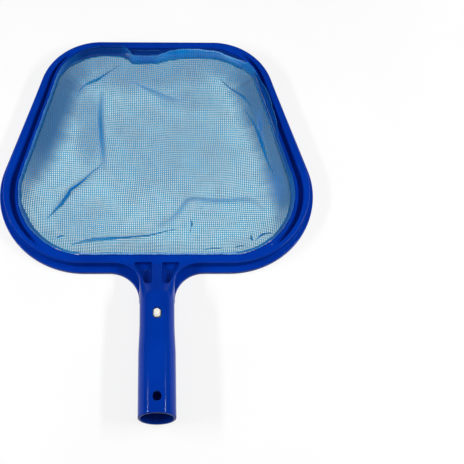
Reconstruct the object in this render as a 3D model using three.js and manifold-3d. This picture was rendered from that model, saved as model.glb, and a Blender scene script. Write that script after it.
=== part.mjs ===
// The head of a pool leaf skimmer. One plastic moulding makes the rim, the neck and the pole
// socket. A sagging mesh bag hangs in the rim from a doubled hem, whose bead cord lies in a slot
// of the rim's inner wall. A sprung clip sits in the socket with a button in each upper hole.
//
// Millimetres, +Z up, lying flat. +Y runs from the socket's mouth to the rim's leading edge and
// X is across. Below, y is measured from the mouth, and the last lines move the origin to the
// middle of the head, on the surface it lies on.

import * as THREE from 'three';
import * as BufferGeometryUtils from 'three/addons/utils/BufferGeometryUtils.js';
import Module from 'manifold-3d';

// ---- clearances ----

const gap = 0.3;

// ---- lengths along the head ----

const socketLength = 118;
const neckLength = 33.5;

// ---- rim, seen from above ----

const headWidth = 305;
const rimLength = 251.5;
const lowerCornerRadius = 83.5;
const upperCornerRadius = 61.7;
const sideLean = THREE.MathUtils.degToRad(18.2);

// ---- rim section ----

const rimHeight = 13;
const edgeRound = 1.2;
const wallDraft = 0.4;
const flangeHeight = 4.5;
const rimWidth = { foot: 14.5, widest: 18.8, sideStart: 18.8, sideEnd: 15.2, leading: 7.5 };
const flangeWidth = { foot: 6.2, widest: 3.3, sideStart: 2.8, sideEnd: 1.4, leading: 0.9 };
const grooveWidth = { foot: 2.2, widest: 5.8, sideStart: 5.6, sideEnd: 4, leading: 1.2 };
const grooveDepth = 5;
const grooveDraft = 0.8;
const innerRidgeWidth = 3.3;
const grooveFadeIn = { start: 45, length: 34 };
const grooveFadeOut = { start: 22, length: 28 };
const slotHeight = 2.6;
const slotDepth = 2.4;
const slotBottom = 5.2;

// ---- pole socket ----

const mouthRadius = 17.8;
const middleRadius = 17.5;
const neckRadius = 16.4;
const socketWall = 2.5;
const middleAt = 58;
const waistToNeck = 23;
const boreFloor = 7;
const mouthChamfer = 0.8;
const poleHole = { at: 16, width: 8, length: 9.8 };
const clipHole = { at: socketLength - 20, width: 8.2, length: 11.2 };

// ---- neck between socket and rim ----

const neckFilletRadius = 23;
const neckFlangeFilletRadius = 28;
const neckFlangeOverhang = 0.6;
const neckSquareness = 18;
const pocketRound = 2;
const pocketDepth = 5;
const ribWidth = 10.4;
const pocketLength = 26;
const pocketEdge = 5;
const undersideWall = 3;
const undersideHeight = 7;
const roundToSquare = 14;

// ---- bead cord, hem and mesh bag ----

const beadDiameter = 1.8;
const hemThickness = 1;
const hemTop = 12.2;
const hemFoot = 3.4;
const hemLean = 4;
const meshEdgeHeight = 4.2;
const meshFloorHeight = 1.5;
const meshSagReach = 30;
const meshThickness = 1.2;
const meshPitch = 17;
const meshStrand = 3.2;
const meshBorder = 3;
const foldHeight = 3.6;
const foldHalfWidth = 9;

// The folds' paths, across the head and forward from the rim's foot.
const folds = [
    [[-105, 60], [-80, 96], [-53, 116], [-52, 153], [-57, 233]],
    [[-77, 199], [-40, 224]],
    [[63, 211], [88, 182], [104, 148], [125, 93]],
    [[-79, 28], [-31, 38], [-7, 35], [20, 46], [32, 78], [86, 74]],
];

// ---- spring clip ----

const clipReach = 38;
const clipPivotRise = 4.5;
const clipThickness = 1.8;
const clipWidth = 8;
const clipTipReach = 5.5;
const buttonWidth = 6.2;
const buttonLength = 8.8;
const buttonRound = 1.3;
const buttonProud = 1;

// ---- how finely round forms are divided ----

const socketSides = 48;
const taperSteps = 3;
const lowerCornerSteps = 13;
const sideSteps = 6;
const upperCornerSteps = 9;
const straightSteps = 2;
const neckSteps = 14;
const roundSteps = 6;
const pocketCornerSteps = 4;
const buttonEdgeSteps = 3;
const beadSides = 8;

// ---- colours ----

const plasticBlue = new THREE.MeshStandardMaterial({ color: 0x0038a8, roughness: 0.28, metalness: 0 });
const meshBlue = new THREE.MeshStandardMaterial({ color: 0x8fc4dc, roughness: 0.6, metalness: 0 });
const hemBlue = new THREE.MeshStandardMaterial({ color: 0x2f7fbe, roughness: 0.65, metalness: 0 });
const beadBlue = new THREE.MeshStandardMaterial({ color: 0x2a6cae, roughness: 0.5, metalness: 0 });
const nylonWhite = new THREE.MeshStandardMaterial({ color: 0xf1eee2, roughness: 0.35, metalness: 0 });

// ---- solids ----

const wasm = await Module();
wasm.setup();

// Merges shared vertices, drops triangles that have shrunk to a line and turns the faces outward.
function closedGeometry(geometry) {
    const bare = geometry.clone();
    for (const name of Object.keys(bare.attributes)) {
        if (name !== 'position') bare.deleteAttribute(name);
    }
    const merged = BufferGeometryUtils.mergeVertices(bare, 1e-4);
    const corner = merged.index.array;
    const kept = [];
    for (let i = 0; i < corner.length; i += 3) {
        const [a, b, c] = [corner[i], corner[i + 1], corner[i + 2]];
        if (a !== b && b !== c && c !== a) kept.push(a, b, c);
    }
    if (signedVolume(merged.attributes.position, kept) < 0) kept.reverse();
    merged.setIndex(kept);
    return merged;
}

function signedVolume(position, corners) {
    const [a, b, c] = [new THREE.Vector3(), new THREE.Vector3(), new THREE.Vector3()];
    let total = 0;
    for (let i = 0; i < corners.length; i += 3) {
        a.fromBufferAttribute(position, corners[i]);
        b.fromBufferAttribute(position, corners[i + 1]);
        c.fromBufferAttribute(position, corners[i + 2]);
        total += a.dot(b.cross(c)) / 6;
    }
    return total;
}

function toSolid(geometry) {
    const closed = closedGeometry(geometry);
    return new wasm.Manifold(new wasm.Mesh({
        numProp: 3,
        vertProperties: new Float32Array(closed.attributes.position.array),
        triVerts: new Uint32Array(closed.index.array),
    }));
}

function toGeometry(solid) {
    const mesh = solid.getMesh();
    const geometry = new THREE.BufferGeometry();
    geometry.setAttribute('position', new THREE.BufferAttribute(mesh.vertProperties, 3));
    geometry.setIndex(new THREE.BufferAttribute(mesh.triVerts, 1));
    return geometry;
}

// Skins rings of equal point count. A closed loft joins the last ring to the first, and an open
// one closes each end with a fan from the ring's middle.
function loft(rings, isClosed) {
    const count = rings[0].length;
    const points = rings.flat();
    const index = [];
    const ringPairs = isClosed ? rings.length : rings.length - 1;
    for (let i = 0; i < ringPairs; i++) {
        const near = i * count;
        const far = ((i + 1) % rings.length) * count;
        for (let j = 0; j < count; j++) {
            const k = (j + 1) % count;
            index.push(near + j, near + k, far + k);
            index.push(near + j, far + k, far + j);
        }
    }
    if (!isClosed) {
        for (const [first, turn] of [[0, 1], [(rings.length - 1) * count, -1]]) {
            const middle = new THREE.Vector3();
            for (let j = 0; j < count; j++) middle.addScaledVector(points[first + j], 1 / count);
            points.push(middle);
            for (let j = 0; j < count; j++) {
                const k = (j + 1) % count;
                const pair = turn > 0 ? [first + k, first + j] : [first + j, first + k];
                index.push(points.length - 1, ...pair);
            }
        }
    }
    const geometry = new THREE.BufferGeometry().setFromPoints(points);
    geometry.setIndex(index);
    return geometry;
}

// ---- places along the head, from the mouth ----

const rimFoot = socketLength + neckLength;
const headLength = rimFoot + rimLength;
const ridgeFace = rimFoot + flangeWidth.foot;
const waistAt = socketLength - waistToNeck;
const clipPivot = clipHole.at - clipReach;

// ---- the rim's outer edge, as stations from the foot round to the leading edge ----

const lowerCentre = new THREE.Vector2(headWidth / 2 - lowerCornerRadius, rimFoot + lowerCornerRadius);
const sideFoot = new THREE.Vector2(Math.cos(sideLean), Math.sin(sideLean))
    .multiplyScalar(lowerCornerRadius).add(lowerCentre);
const sideHeadY = headLength - upperCornerRadius * (1 - Math.sin(sideLean));
const sideLength = (sideHeadY - sideFoot.y) / Math.cos(sideLean);
const sideHead = new THREE.Vector2(sideFoot.x - sideLength * Math.sin(sideLean), sideHeadY);
const upperCentre = new THREE.Vector2(
    sideHead.x - upperCornerRadius * Math.cos(sideLean), headLength - upperCornerRadius);

// Distances along the edge at which its named places lie.
const place = { foot: lowerCentre.x };
place.widest = place.foot + lowerCornerRadius * Math.PI / 2;
place.sideStart = place.widest + lowerCornerRadius * sideLean;
place.sideEnd = place.sideStart + sideLength;
place.leading = place.sideEnd + upperCornerRadius * (Math.PI / 2 - sideLean);

// A width that runs straight from each named place to the next.
function widthAlong(widths, s) {
    const names = Object.keys(widths);
    for (let i = 1; i < names.length; i++) {
        if (s > place[names[i]]) continue;
        const share = THREE.MathUtils.clamp(
            (s - place[names[i - 1]]) / (place[names[i]] - place[names[i - 1]]), 0, 1);
        return THREE.MathUtils.lerp(widths[names[i - 1]], widths[names[i]], share);
    }
    return widths[names.at(-1)];
}

function arcStations(centre, radius, from, to, steps, startAt) {
    const list = [];
    for (let i = 1; i <= steps; i++) {
        const angle = THREE.MathUtils.lerp(from, to, i / steps);
        const outward = new THREE.Vector2(Math.cos(angle), Math.sin(angle));
        list.push({
            point: outward.clone().multiplyScalar(radius).add(centre),
            inward: outward.negate(),
            s: startAt + radius * (angle - from),
        });
    }
    return list;
}

function lineStations(from, to, inward, steps, startAt) {
    const list = [];
    for (let i = 1; i <= steps; i++) {
        const point = from.clone().lerp(to, i / steps);
        list.push({ point, inward, s: startAt + from.distanceTo(point) });
    }
    return list;
}

function rimStations() {
    const foot = new THREE.Vector2(0, rimFoot);
    const lead = new THREE.Vector2(0, headLength);
    const sideInward = new THREE.Vector2(-Math.cos(sideLean), -Math.sin(sideLean));
    const half = [
        { point: foot, inward: new THREE.Vector2(0, 1), s: 0 },
        ...lineStations(foot, new THREE.Vector2(lowerCentre.x, rimFoot),
            new THREE.Vector2(0, 1), straightSteps, 0),
        ...arcStations(lowerCentre, lowerCornerRadius, -Math.PI / 2, sideLean,
            lowerCornerSteps, place.foot),
        ...lineStations(sideFoot, sideHead, sideInward, sideSteps, place.sideStart),
        ...arcStations(upperCentre, upperCornerRadius, sideLean, Math.PI / 2,
            upperCornerSteps, place.sideEnd),
        ...lineStations(new THREE.Vector2(upperCentre.x, headLength), lead,
            new THREE.Vector2(0, -1), straightSteps, place.leading),
    ];
    const mirrored = half.slice(1, -1).reverse().map(({ point, inward, s }) => ({
        point: new THREE.Vector2(-point.x, point.y),
        inward: new THREE.Vector2(-inward.x, inward.y),
        s,
    }));
    return [...half, ...mirrored];
}

const stations = rimStations();

// A ring of points at a station. Each pair is the distance in from the rim's outer edge and the
// height.
function ringAt(station, pairs) {
    return pairs.map(([inset, z]) => new THREE.Vector3(
        station.point.x + station.inward.x * inset,
        station.point.y + station.inward.y * inset, z));
}

function grooveDepthAt(s) {
    const fadeIn = THREE.MathUtils.smoothstep(s,
        place.foot + grooveFadeIn.start, place.foot + grooveFadeIn.start + grooveFadeIn.length);
    const fadeOut = THREE.MathUtils.smoothstep(s,
        place.sideEnd + grooveFadeOut.start, place.sideEnd + grooveFadeOut.start + grooveFadeOut.length);
    return grooveDepth * fadeIn * (1 - fadeOut);
}

// ---- frame moulding: rim ----

function rimSection(station) {
    const width = widthAlong(rimWidth, station.s);
    const flange = widthAlong(flangeWidth, station.s);
    const flangeRound = Math.min(edgeRound, flange / 2);
    const grooveIn = width - innerRidgeWidth;
    const grooveOut = grooveIn - widthAlong(grooveWidth, station.s);
    const draft = Math.min(grooveDraft, (grooveIn - grooveOut) / 4);
    const grooveFloor = rimHeight - grooveDepthAt(station.s);
    const slotTop = slotBottom + slotHeight;
    return ringAt(station, [
        [edgeRound / 2, 0],
        [0, edgeRound / 2],
        [0, flangeHeight - flangeRound],
        [flangeRound, flangeHeight],
        [flange, flangeHeight],
        [flange + wallDraft, rimHeight - edgeRound],
        [flange + wallDraft + edgeRound, rimHeight],
        [grooveOut, rimHeight],
        [grooveOut + draft, grooveFloor],
        [grooveIn - draft, grooveFloor],
        [grooveIn, rimHeight],
        [width - edgeRound, rimHeight],
        [width, rimHeight - edgeRound],
        [width, slotTop],
        [width - slotDepth, slotTop],
        [width - slotDepth, slotBottom],
        [width, slotBottom],
        [width, edgeRound / 2],
        [width - edgeRound / 2, 0],
    ]);
}

function makeRim() {
    return toSolid(loft(stations.map(rimSection), true));
}

// ---- frame moulding: pole socket ----

// The socket's radius at a distance from the mouth, less a wall for the bore.
function socketRadius(y, wall = 0) {
    const outer = y < middleAt
        ? THREE.MathUtils.lerp(mouthRadius, middleRadius, y / middleAt)
        : THREE.MathUtils.lerp(middleRadius, neckRadius,
            THREE.MathUtils.smoothstep(y, middleAt, waistAt));
    return outer - wall;
}

const socketStops = [];
for (let i = 0; i <= taperSteps; i++) {
    socketStops.push(THREE.MathUtils.lerp(middleAt, waistAt, i / taperSteps));
}

function revolved(profile) {
    const lathe = new THREE.LatheGeometry(profile.map(([r, y]) => new THREE.Vector2(r, y)), socketSides);
    return toSolid(lathe.translate(0, 0, mouthRadius));
}

function makeSocketOutside() {
    return revolved([
        [0, 0],
        [mouthRadius - mouthChamfer / 2, 0],
        [mouthRadius, mouthChamfer / 2],
        ...socketStops.map((y) => [socketRadius(y), y]),
        [neckRadius, socketLength],
        [neckRadius - socketWall, socketLength + socketWall],
        [0, socketLength + socketWall],
    ]);
}

function makeBore() {
    return revolved([
        [0, -gap],
        [mouthRadius - socketWall + mouthChamfer, -gap],
        [mouthRadius - socketWall + mouthChamfer, 0],
        [mouthRadius - socketWall, mouthChamfer],
        ...socketStops.map((y) => [socketRadius(y, socketWall), y]),
        [neckRadius - socketWall, socketLength - boreFloor],
        [0, socketLength - boreFloor],
    ]);
}

// An outline with straight sides along Y and round ends.
function oblongShape(width, length) {
    const radius = width / 2;
    const straight = length / 2 - radius;
    const shape = new THREE.Shape();
    shape.absarc(0, straight, radius, 0, Math.PI);
    shape.absarc(0, -straight, radius, Math.PI, 2 * Math.PI);
    return shape;
}

function makeCrossHole(hole) {
    const height = 2 * mouthRadius + 2 * gap;
    const geometry = new THREE.ExtrudeGeometry(oblongShape(hole.width, hole.length),
        { depth: height, bevelEnabled: false, curveSegments: roundSteps });
    return toSolid(geometry.translate(0, hole.at, -gap));
}

// ---- frame moulding: neck ----

const neckCentre = new THREE.Vector2(neckRadius + gap + neckFilletRadius, ridgeFace - neckFilletRadius);

// Half the neck body's width, which follows a concave fillet into the rim's outer wall.
function neckHalfWidth(y) {
    if (y <= neckCentre.y) {
        return THREE.MathUtils.mapLinear(y, socketLength, neckCentre.y, neckRadius, neckRadius + gap);
    }
    const rise = Math.min(y - neckCentre.y, neckFilletRadius);
    return neckCentre.x - Math.sqrt(neckFilletRadius ** 2 - rise ** 2);
}

// How far the neck has turned from the socket's round section, at 0, into the rim's flat one, at 1.
function neckShare(y) {
    return THREE.MathUtils.smoothstep(y, socketLength, ridgeFace);
}

function neckTop(y) {
    return THREE.MathUtils.lerp(mouthRadius + neckRadius, rimHeight, neckShare(y));
}

// The section is round where it meets the socket and squares up towards the rim, sooner below
// than above.
function neckSection(y) {
    const share = neckShare(y);
    const lowShare = THREE.MathUtils.smoothstep(y, socketLength, socketLength + roundToSquare);
    const half = neckHalfWidth(y);
    const shoulder = THREE.MathUtils.lerp(mouthRadius, rimHeight - edgeRound, share);
    const topPower = 2 / THREE.MathUtils.lerp(2, neckSquareness, share ** 2);
    const lowPower = 2 / THREE.MathUtils.lerp(2, neckSquareness, lowShare);
    const bottom = THREE.MathUtils.lerp(mouthRadius - neckRadius, 0, lowShare);
    const ring = [];
    for (let i = 0; i < socketSides; i++) {
        const angle = i * 2 * Math.PI / socketSides;
        const isTop = i <= socketSides / 2;
        const power = isTop ? topPower : lowPower;
        const across = Math.cos(angle);
        const rise = Math.abs(Math.sin(angle)) ** power;
        ring.push(new THREE.Vector3(
            half * Math.sign(across) * Math.abs(across) ** power,
            y,
            THREE.MathUtils.lerp(shoulder, isTop ? neckTop(y) : bottom, rise)));
    }
    return ring;
}

function makeNeckBody() {
    const rings = [];
    for (let i = 0; i <= neckSteps; i++) {
        const share = Math.sin(i / neckSteps * Math.PI / 2);
        rings.push(neckSection(THREE.MathUtils.lerp(socketLength, ridgeFace, share)));
    }
    const inside = rings.at(-1).map((point) => point.clone().setY(ridgeFace + edgeRound));
    return toSolid(loft([...rings, inside], false));
}

function extruded(shape, depth) {
    return new THREE.ExtrudeGeometry(shape, { depth, bevelEnabled: false, curveSegments: neckSteps });
}

// The low flange that carries the rim's flange down both sides of the neck.
function makeNeckFlange() {
    const half = neckRadius + neckFlangeOverhang;
    const centreX = half + neckFlangeFilletRadius;
    const centreY = rimFoot - neckFlangeFilletRadius;
    const shape = new THREE.Shape();
    shape.moveTo(half, socketLength);
    shape.absarc(centreX, centreY, neckFlangeFilletRadius, Math.PI, Math.PI / 2, true);
    shape.lineTo(centreX, ridgeFace);
    shape.lineTo(-centreX, ridgeFace);
    shape.absarc(-centreX, centreY, neckFlangeFilletRadius, Math.PI / 2, 0, true);
    shape.lineTo(-half, socketLength);
    return toSolid(extruded(shape, flangeHeight));
}

// A polygon with every corner rounded to the same radius.
function roundedShape(points, radius) {
    const shape = new THREE.Shape();
    points.forEach((corner, i) => {
        const before = points.at(i - 1).clone().sub(corner).setLength(radius).add(corner);
        const after = points[(i + 1) % points.length].clone().sub(corner).setLength(radius).add(corner);
        if (i === 0) shape.moveTo(before.x, before.y);
        else shape.lineTo(before.x, before.y);
        shape.quadraticCurveTo(corner.x, corner.y, after.x, after.y);
    });
    return shape;
}

// One pocket in the neck's sloping top. Its floor slopes with the neck.
function makePocket(side) {
    const inner = ribWidth / 2;
    const pocketTop = ridgeFace + gap;
    const pocketFoot = pocketTop - pocketLength;
    const shape = roundedShape([
        new THREE.Vector2(inner, pocketFoot),
        new THREE.Vector2(neckHalfWidth(pocketFoot) - pocketEdge, pocketFoot),
        new THREE.Vector2(neckHalfWidth(pocketTop - pocketEdge) - pocketEdge, pocketTop),
        new THREE.Vector2(inner, pocketTop),
    ], pocketRound);
    const geometry = new THREE.ExtrudeGeometry(shape,
        { depth: pocketDepth, bevelEnabled: false, curveSegments: pocketCornerSteps });
    const position = geometry.attributes.position;
    const slope = (neckTop(pocketTop) - neckTop(pocketFoot)) / (pocketTop - pocketFoot);
    for (let i = 0; i < position.count; i++) {
        const floor = neckTop(pocketFoot) - pocketDepth + slope * (position.getY(i) - pocketFoot);
        position.setXYZ(i, side * position.getX(i), position.getY(i),
            position.getZ(i) > pocketDepth / 2 ? 2 * mouthRadius + gap : floor);
    }
    return toSolid(geometry);
}

// One hollow in the neck's underside, which leaves a wall all round and the rib in the middle.
function makeUndersideHollow(side) {
    const inner = ribWidth / 2 - undersideWall / 2;
    const first = socketLength + 2 * undersideWall;
    const last = ridgeFace - undersideWall;
    const shape = new THREE.Shape();
    shape.moveTo(side * inner, first);
    for (let i = 0; i <= roundSteps; i++) {
        const y = THREE.MathUtils.lerp(first, last, i / roundSteps);
        shape.lineTo(side * (neckHalfWidth(y) - undersideWall), y);
    }
    shape.lineTo(side * inner, last);
    return toSolid(extruded(shape, undersideHeight + gap).translate(0, 0, -gap));
}

function makeFrameMoulding() {
    let body = makeRim().add(makeSocketOutside()).add(makeNeckBody()).add(makeNeckFlange());
    body = body.subtract(makeBore());
    body = body.subtract(makeCrossHole(poleHole)).subtract(makeCrossHole(clipHole));
    for (const side of [1, -1]) {
        body = body.subtract(makePocket(side)).subtract(makeUndersideHollow(side));
    }
    return body;
}

// ---- bead cord and hem ----

function makeBeadCord() {
    const radius = beadDiameter / 2;
    const height = slotBottom + slotHeight / 2;
    return loft(stations.map((station) => {
        const middle = widthAlong(rimWidth, station.s) - slotDepth + gap + radius;
        const pairs = [];
        for (let i = 0; i < beadSides; i++) {
            const angle = i * 2 * Math.PI / beadSides;
            pairs.push([middle + radius * Math.cos(angle), height - radius * Math.sin(angle)]);
        }
        return ringAt(station, pairs);
    }), true);
}

// How far the hem's foot hangs inward from its top, most at the leading edge.
function hemLeanAt(s) {
    return hemLean * THREE.MathUtils.smoothstep(s, place.sideStart, place.leading);
}

function makeHem() {
    return loft(stations.map((station) => {
        const outer = widthAlong(rimWidth, station.s) + gap;
        const lean = hemLeanAt(station.s);
        return ringAt(station, [
            [outer, hemTop],
            [outer + hemThickness, hemTop],
            [outer + hemThickness + lean, hemFoot],
            [outer + lean, hemFoot],
        ]);
    }), true);
}

// ---- mesh bag ----

function meshInset(s) {
    return widthAlong(rimWidth, s) + 2 * gap + hemThickness + hemLeanAt(s);
}

function insetOutline(extra) {
    return stations.map(({ point, inward, s }) =>
        point.clone().addScaledVector(inward, meshInset(s) + extra));
}

const meshOutline = insetOutline(0);

function distanceToLine(point, from, to) {
    const along = to.clone().sub(from);
    const reach = point.clone().sub(from);
    const share = THREE.MathUtils.clamp(reach.dot(along) / along.lengthSq(), 0, 1);
    return reach.addScaledVector(along, -share).length();
}

function distanceToPath(point, path) {
    let least = Infinity;
    for (let i = 1; i < path.length; i++) {
        least = Math.min(least, distanceToLine(point, path[i - 1], path[i]));
    }
    return least;
}

const meshLoop = [...meshOutline, meshOutline[0]];
const foldPaths = folds.map((fold) => fold.map(([x, y]) => new THREE.Vector2(x, rimFoot + y)));

// The bag's height: it hangs from the hem, lies almost on the ground and stands up in its folds.
function meshHeight(x, y) {
    const point = new THREE.Vector2(x, y);
    const inside = THREE.MathUtils.smoothstep(distanceToPath(point, meshLoop), 0, meshSagReach);
    let rise = 0;
    for (const path of foldPaths) {
        rise = Math.max(rise, Math.exp(-((distanceToPath(point, path) / foldHalfWidth) ** 2)));
    }
    return THREE.MathUtils.lerp(meshEdgeHeight, meshFloorHeight + foldHeight * rise, inside);
}

// A square net of crossing strands over the rim's whole opening.
function makeLattice() {
    const columns = Math.ceil(headWidth / meshPitch);
    const rows = Math.ceil((headLength - rimFoot) / meshPitch);
    const startX = -columns * meshPitch / 2;
    const startY = (rimFoot + headLength) / 2 - rows * meshPitch / 2;
    const half = meshStrand / 2;
    const lineCount = (cells) => 2 * (cells + 1);
    const lineAt = (start, i) => start + Math.floor(i / 2) * meshPitch + (i % 2 ? half : -half);
    const across = lineCount(columns);
    const along = lineCount(rows);
    const position = [];
    for (const offset of [-meshThickness / 2, meshThickness / 2]) {
        for (let j = 0; j < along; j++) {
            for (let i = 0; i < across; i++) {
                const x = lineAt(startX, i);
                const y = lineAt(startY, j);
                position.push(x, y, meshHeight(x, y) + offset);
            }
        }
    }
    const id = (i, j, layer) => layer * across * along + j * across + i;
    const isSolid = (i, j) => i >= 0 && j >= 0 && i < across - 1 && j < along - 1
        && !(i % 2 && j % 2);
    const index = [];
    const quad = (a, b, c, d) => index.push(a, b, c, a, c, d);
    for (let j = 0; j < along - 1; j++) {
        for (let i = 0; i < across - 1; i++) {
            if (!isSolid(i, j)) continue;
            quad(id(i, j, 1), id(i + 1, j, 1), id(i + 1, j + 1, 1), id(i, j + 1, 1));
            quad(id(i, j, 0), id(i, j + 1, 0), id(i + 1, j + 1, 0), id(i + 1, j, 0));
            if (!isSolid(i, j - 1)) quad(id(i, j, 0), id(i + 1, j, 0), id(i + 1, j, 1), id(i, j, 1));
            if (!isSolid(i + 1, j)) {
                quad(id(i + 1, j, 0), id(i + 1, j + 1, 0), id(i + 1, j + 1, 1), id(i + 1, j, 1));
            }
            if (!isSolid(i, j + 1)) {
                quad(id(i + 1, j + 1, 0), id(i, j + 1, 0), id(i, j + 1, 1), id(i + 1, j + 1, 1));
            }
            if (!isSolid(i - 1, j)) quad(id(i, j + 1, 0), id(i, j, 0), id(i, j, 1), id(i, j + 1, 1));
        }
    }
    const geometry = new THREE.BufferGeometry();
    geometry.setAttribute('position', new THREE.Float32BufferAttribute(position, 3));
    geometry.setIndex(index);
    return toSolid(geometry);
}

function makeMeshBorder() {
    const half = meshThickness / 2;
    return toSolid(loft(stations.map((station) => {
        const outer = meshInset(station.s);
        const heightAt = (inset) => meshHeight(
            station.point.x + station.inward.x * inset, station.point.y + station.inward.y * inset);
        const outerZ = heightAt(outer);
        const innerZ = heightAt(outer + meshBorder);
        return ringAt(station, [
            [outer, outerZ - half],
            [outer, outerZ + half],
            [outer + meshBorder, innerZ + half],
            [outer + meshBorder, innerZ - half],
        ]);
    }), true));
}

function makeMeshBag() {
    const inside = new THREE.Shape(insetOutline(meshBorder / 2));
    const cutter = toSolid(extruded(inside, rimHeight + gap).translate(0, 0, -gap));
    return makeLattice().intersect(cutter).add(makeMeshBorder());
}

// ---- spring clip ----

const legRun = clipHole.at + clipTipReach - clipPivot;
const legTipRise = Math.sqrt(socketRadius(clipHole.at, socketWall) ** 2 - (clipWidth / 2) ** 2)
    - gap - clipThickness / 2;
const legAngle = Math.atan2(legTipRise - clipPivotRise, legRun);

// One leg, drawn for the upper side, with its button standing through the hole.
function makeClipLeg() {
    const length = Math.hypot(legRun, legTipRise - clipPivotRise) - clipThickness / 2;
    const strip = new THREE.BoxGeometry(clipWidth, length - gap / 2, clipThickness)
        .translate(0, (length + gap / 2) / 2, 0)
        .rotateX(legAngle)
        .translate(0, clipPivot, clipPivotRise);
    const seat = clipPivotRise + Math.tan(legAngle) * (clipHole.at - clipPivot);
    const top = socketRadius(clipHole.at) + buttonProud;
    const core = oblongShape(buttonWidth - 2 * buttonRound, buttonLength - 2 * buttonRound);
    const button = new THREE.ExtrudeGeometry(core, {
        depth: top - seat - 2 * buttonRound,
        bevelEnabled: true,
        bevelThickness: buttonRound,
        bevelSize: buttonRound,
        bevelSegments: buttonEdgeSteps,
        curveSegments: roundSteps,
    }).translate(0, clipHole.at, seat + buttonRound);
    return toGeometry(toSolid(strip).add(toSolid(button)));
}

// The bend that joins the two legs, a gap short of each.
function makeClipBend() {
    const half = clipThickness / 2;
    const straight = clipThickness;
    const shape = new THREE.Shape();
    shape.moveTo(-gap, clipPivotRise + half);
    shape.lineTo(-straight, clipPivotRise + half);
    shape.absarc(-straight, 0, clipPivotRise + half, Math.PI / 2, 3 * Math.PI / 2);
    shape.lineTo(-gap, -clipPivotRise - half);
    shape.lineTo(-gap, -clipPivotRise + half);
    shape.lineTo(-straight, -clipPivotRise + half);
    shape.absarc(-straight, 0, clipPivotRise - half, 3 * Math.PI / 2, Math.PI / 2, true);
    shape.lineTo(-gap, clipPivotRise - half);
    const geometry = new THREE.ExtrudeGeometry(shape,
        { depth: clipWidth, bevelEnabled: false, curveSegments: roundSteps });
    return geometry.translate(0, 0, -clipWidth / 2).applyMatrix4(new THREE.Matrix4().makeBasis(
        new THREE.Vector3(0, 1, 0), new THREE.Vector3(0, 0, 1), new THREE.Vector3(1, 0, 0)));
}

// ---- assembly ----

function addMesh(parent, name, geometry, material) {
    const mesh = new THREE.Mesh(geometry, material);
    mesh.name = name;
    parent.add(mesh);
    return mesh;
}

const skimmer = new THREE.Group();
const head = new THREE.Group();
head.position.set(0, -headLength / 2, 0);
skimmer.add(head);

addMesh(head, 'frame_moulding', toGeometry(makeFrameMoulding()), plasticBlue);
addMesh(head, 'hem_bead_cord', closedGeometry(makeBeadCord()), beadBlue);
addMesh(head, 'net_hem', closedGeometry(makeHem()), hemBlue);
addMesh(head, 'net_mesh', toGeometry(makeMeshBag()), meshBlue);

const clip = new THREE.Group();
clip.position.set(0, 0, mouthRadius);
head.add(clip);
addMesh(clip, 'clip_bend', closedGeometry(makeClipBend()), nylonWhite).position.y = clipPivot;
addMesh(clip, 'clip_upper_leg', makeClipLeg(), nylonWhite);
addMesh(clip, 'clip_lower_leg', makeClipLeg(), nylonWhite).rotation.y = Math.PI;

export default skimmer;
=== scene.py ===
import bpy
import bmesh
import math
import numpy as np
from mathutils import Matrix, Vector, kdtree


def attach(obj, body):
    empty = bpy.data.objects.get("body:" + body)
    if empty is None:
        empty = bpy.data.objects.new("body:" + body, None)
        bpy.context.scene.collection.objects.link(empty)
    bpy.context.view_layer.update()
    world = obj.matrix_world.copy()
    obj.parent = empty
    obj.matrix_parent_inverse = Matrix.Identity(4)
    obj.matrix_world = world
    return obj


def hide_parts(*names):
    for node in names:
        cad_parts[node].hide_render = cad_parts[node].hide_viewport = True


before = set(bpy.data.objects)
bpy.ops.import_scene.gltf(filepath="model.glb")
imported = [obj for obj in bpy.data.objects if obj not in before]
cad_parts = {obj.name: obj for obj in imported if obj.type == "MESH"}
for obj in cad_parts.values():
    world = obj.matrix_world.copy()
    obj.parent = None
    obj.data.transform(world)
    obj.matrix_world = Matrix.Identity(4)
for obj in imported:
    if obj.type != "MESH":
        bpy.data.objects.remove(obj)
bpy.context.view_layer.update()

MM = 0.001

# -------- sizes, in mm from the mouth
# y runs from the socket's mouth to the leading edge, and place() moves the origin to the middle.
# The three lists of widths go with PLACES, from the rim's foot round to its leading edge.

HEAD = 403.0
HALF = HEAD / 2
GAP = 0.3
SOCKET, NECK = 118.0, 33.5
FOOT = SOCKET + NECK
LOWER_R, UPPER_R, WIDTH = 83.5, 61.7, 305.0
LEAN = math.radians(18.2)
RIM_H, FLANGE_H, EDGE, DRAFT = 13.0, 4.5, 1.2, 0.4
RIM_W = (14.5, 18.8, 18.8, 15.2, 7.5)
FLANGE_W = (6.2, 3.3, 2.8, 1.4, 0.9)
GROOVE_W = (2.2, 5.8, 5.6, 4.0, 1.2)
GROOVE_D, GROOVE_DRAFT, INNER_RIDGE = 5.0, 0.8, 3.3
GROOVE_STARTS, GROOVE_ENDS = (45, 79), (22, 50)
SLOT_LOW, SLOT_HIGH, SLOT_IN = 5.2, 7.8, 2.4
MOUTH_R, MIDDLE_R, NECK_R, WALL = 17.8, 17.5, 16.4, 2.5
MIDDLE_AT, WAIST_AT = 58.0, SOCKET - 23.0
BORE_END = SOCKET - 7.0
AXIS_Z = MOUTH_R
RIDGE = FOOT + FLANGE_W[0]
FILLET, FLANGE_FILLET, OVERHANG = 23.0, 28.0, 0.6
# Holes through both walls: width, length, middle.
POLE_HOLE = (8, 9.8, 16)
CLIP_HOLE = (8.2, 11.2, SOCKET - 20.0)
UNDER, ABOVE = -1.0, 37.0


def smooth(x, a, b):
    t = np.clip((np.asarray(x, float) - a) / (b - a), 0, 1)
    return t * t * (3 - 2 * t)


def mix(a, b, t):
    return a + (b - a) * t


def place(points):
    """mm from the mouth to metres in the row's frame."""
    p = np.asarray(points, float).reshape(-1, 3) * MM
    p[:, 1] -= HALF * MM
    return p


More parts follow.
